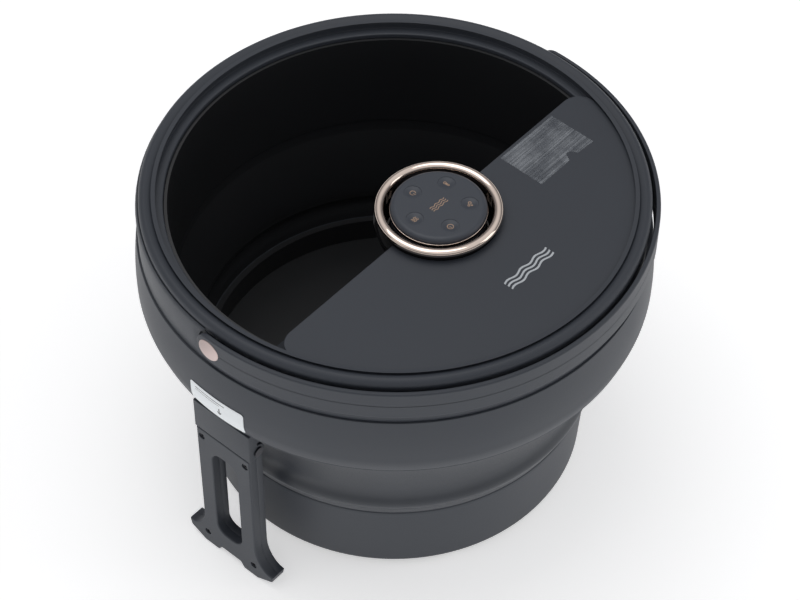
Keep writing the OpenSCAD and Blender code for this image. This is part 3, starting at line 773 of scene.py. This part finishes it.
def build_legs():
    screws = [(s * y, z) for y, z in ((24.3, 152.5), (27, 16)) for s in (-1, 1)]
    wide, low, high, turn = 14.2, 29, LEG_TOP - 22, 11
    slot_points = rounded([(wide, low, turn), (wide, high, turn),
                           (-wide, high, turn), (-wide, low, turn)], 10)
    holes = [(slot_points, 1.3)]
    for side, name in ((-1, "left"), (1, "right")):
        place = lambda u, v, w, s=side: (s * (LEG_FACE - w), u, v)
        wells = [(circle(3.2, p, 28), 0.4, 3.0) for p in screws]
        mesh = slab("leg_front_" + name, leg_outline(), holes, LEG_DEPTH, 1.6, 0.1, place, wells)
        piece = new_object("leg_front_" + name, mesh, "leg_" + name, "shell")
        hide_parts("leg_panel_" + name)
        softened("leg_back_" + name, 0.15)
        softened("hinge_block_" + name, 1.1, 3)
        NODES["leg_screws_" + name].data.materials[0] = MATERIALS["dark_steel"]
    NODES["leg_pins"].data.materials[0] = MATERIALS["dark_steel"]


# ---------------------------------------------------------------- lid and remote

def build_lid():
    turn_y = LID_EDGE - LID_CORNER
    turn_x = math.sqrt((LID_R - LID_CORNER) ** 2 - turn_y ** 2)
    lean = math.atan2(turn_y, turn_x)
    notch = CUP_R + 0.2
    gap = math.asin((LID_EDGE - CUP_Y) / notch)
    outline = sweep_points(LID_R, lean, -math.pi - lean, (0, 0), 150)
    outline += sweep_points(LID_CORNER, math.pi - lean, math.pi / 2, (-turn_x, turn_y), 16)
    outline += sweep_points(notch, math.pi - gap, 2 * math.pi + gap, (0, CUP_Y), 60)
    outline += sweep_points(LID_CORNER, math.pi / 2, lean, (turn_x, turn_y), 16)[:-1]
    place = lambda u, v, w: (u, v, LID_TOP - w)
    mesh = slab("lid_plate", outline, [], LID_TOP - LID_LOW, 0.9, 0.5, place)
    piece = new_object("lid_plate", mesh, "lid", "shell")
    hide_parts("lid_panel")

    inner = CUP_R - 2.8
    cup = [(0, CUP_LOW)] + [(CUP_R - 9 + 9 * math.cos(a), CUP_LOW + 9 + 9 * math.sin(a))
                            for a in (math.radians(-90 + 9 * k) for k in range(11))]
    cup += [(CUP_R, LID_LOW - 3.2), (CUP_R + 2.8, LID_LOW - 3.2), (CUP_R + 3, LID_LOW - 2.8),
            (CUP_R + 3, LID_LOW - 0.1), (CUP_R, LID_LOW - 0.1), (CUP_R, CUP_HIGH), (inner, CUP_HIGH)]
    cup += [(inner - 6 + 6 * math.cos(a), CUP_LOW + 9 + 6 * math.sin(a))
            for a in (math.radians(-9 * k) for k in range(11))] + [(0, CUP_LOW + 3)]
    lathe("lid_cup", cup, (0, CUP_Y), closed=False)

    sleeve = mm("cup_ring")[0].z
    under = CUP_HIGH + 0.1
    ring = [(RING_R - 4 + 4 * math.cos(a), RING_TOP - 3.4 + 3.4 * math.sin(a))
            for a in (math.radians(180 - 208 * k / 36) for k in range(37))]
    ring += [(RING_R - 2.4, under), (RING_R - 6.5, under), (RING_R - 6.5, sleeve), (RING_R - 8, sleeve)]
    lathe("cup_ring", ring, (0, CUP_Y), turns=320)
    softened("remote_rest", 0.6)


def dish(r):
    """Height of a key's hollow above the key's top, at r from its centre."""
    return min(0, 17.6 - math.sqrt(18.6 ** 2 - r * r))


def stroke(points, width, place, verts, faces):
    """Adds a flat line of a width along points, each put in place by a function."""
    first = len(verts)
    count = len(points)
    for i, point in enumerate(points):
        before = Vector(points[max(0, i - 1)])
        after = Vector(points[min(count - 1, i + 1)])
        along = (after - before).normalized()
        out = Vector((-along.y, along.x)) * width / 2
        for side in (-1, 1):
            verts.append(tuple(c * MM for c in place(point[0] + side * out.x, point[1] + side * out.y)))
    for k in range(count - 1):
        a = first + 2 * k
        faces.append((a, a + 2, a + 3, a + 1))


def arc(radius, start, end, centre=(0, 0)):
    return sweep_points(radius, math.radians(start), math.radians(end), centre, 24)


def line(x0, y0, x1, y1, steps=6):
    return [(x0 + (x1 - x0) * k / steps, y0 + (y1 - y0) * k / steps) for k in range(steps + 1)]


def wave(length, height, x0, y0, turns, steps):
    return [(x0 + length * k / steps, y0 + height * math.sin(2 * math.pi * turns * k / steps))
            for k in range(steps + 1)]


ICONS = {
    "key_power": [arc(1.9, 125, 415), line(0, 0.5, 0, 2.5)],
    "key_heat": [arc(0.95, 120, 420, (0, -1.3)), line(-0.5, -0.5, -0.5, 2.0), line(0.5, -0.5, 0.5, 2.0),
                 arc(0.5, 0, 180, (0, 2.0)), line(0, -1.3, 0, 0.9)],
    "key_bubbles": [arc(1.0, 0, 360, (-1.0, -0.9)), arc(0.7, 0, 360, (1.2, 0.1)),
                    arc(0.5, 0, 360, (-0.3, 1.6))],
    "key_time": [arc(2.1, 0, 360), line(0, 0, 0, 1.3), line(0, 0, 1.0, -0.5)],
    "key_massage": [wave(4.2, 0.4, -2.1, y, 2, 36) for y in (1.3, 0, -1.3)],
}


def build_remote():
    softened("remote_body", 0.5)
    low, high = mm("remote_band")[0].z, mm("remote_band")[1].z
    band = rounded([(REMOTE_R - 4, low), (REMOTE_R, low, 0.5),
                    (REMOTE_R, high, 0.5), (REMOTE_R - 4, high)], 4)
    lathe("remote_band", band, (0, CUP_Y))
    holes = []
    for key in KEYS:
        centre = middle(key)
        radius = (mm(key)[1].y - mm(key)[0].y) / 2
        holes.append((circle(radius + 0.06, (centre.x, centre.y), 64), 0.1))
        top = mm(key)[1].z
        bottom = FACE_LOW + 0.9
        profile = [(0.5 * k, top + dish(0.5 * k)) for k in range(13)]
        profile += [(radius - 0.1, top + 0.01), (radius, top - 0.1), (radius, bottom), (0, bottom)]
        cap = lathe(key, profile, (centre.x, centre.y), turns=64, closed=False)
        cap.data.materials[0] = MATERIALS["remote"]
        in_dish = lambda x, y: (centre.x - x, centre.y - y, top + dish(math.hypot(x, y)) + 0.04)
        verts, faces = [], []
        for points in ICONS[key]:
            stroke([(1.2 * x, 1.2 * y) for x, y in points], 0.55, in_dish, verts, faces)
        flat_piece(key + "_icon", verts, faces, key, "rose_gold", MATERIALS["print"])
    outline = circle(FACE_R - 0.02, (0, CUP_Y), 192)
    top = FACE_TOP - 0.06
    place = lambda u, v, w: (u, v, top - w)
    mesh = slab("remote_cover", outline, holes, top - FACE_LOW, 4.4, 0.3, place)
    piece = new_object("remote_cover", mesh, "remote", "shell", MATERIALS["remote"])
    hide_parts("remote_face")
    verts, faces = [], []
    on_top = lambda x, y: (x, y, top + 0.04)
    for row in (-1, 0, 1):
        stroke(wave(17, 0.6, -8.5, CUP_Y + 2.1 * row, 3, 60), 0.6, on_top, verts, faces)
    flat_piece("remote_mark", verts, faces, "remote", "rose_gold", MATERIALS["print"])


def flat_piece(name, verts, faces, body, slot, material=None):
    """Print, as a thin piece that rides on a body or on the body of a node."""
    mesh = bpy.data.meshes.new(name)
    mesh.from_pydata(verts, [], faces)
    tidy_normals(mesh)
    body = BODY_OF.get(body, body)
    return new_object(name, mesh, body, slot, material)


# ---------------------------------------------------------------- label

def build_label():
    """The plain rating label, with an arrow and ruled lines that stand for its print."""
    softened("rating_label", 0.15).data.transform(Matrix.Translation((0.06 * MM, 0, 0)))
    centre = middle("rating_label")

    def on_skirt(u, v):
        t = (SEAM - v) / (SEAM - SKIRT_LOW)
        r = skirt_radius(t) + 0.22 + 0.38
        a = math.pi + u / r
        return (r * math.cos(a), r * math.sin(a), v)

    verts, faces = [], []
    for points, width in ((line(-23, centre.z + 8.5, 10, centre.z + 8.5, 20), 0.7),
                          (line(-23, centre.z + 6, 4, centre.z + 6, 20), 0.5),
                          (line(4, centre.z + 2.5, 4, centre.z - 4.5), 1.0),
                          (line(2, centre.z - 1.8, 4, centre.z - 4.8), 1.0),
                          (line(6, centre.z - 1.8, 4, centre.z - 4.8), 1.0)):
        stroke(points, width, on_skirt, verts, faces)
    flat_piece("label_print", verts, faces, "ring", "black_plastic")


make_camera()
make_light()
make_floor()
paint_frame()
build_ring()
build_skirt()
build_bellows()
build_base()
build_handle()
build_legs()
build_lid()
build_remote()
build_label()
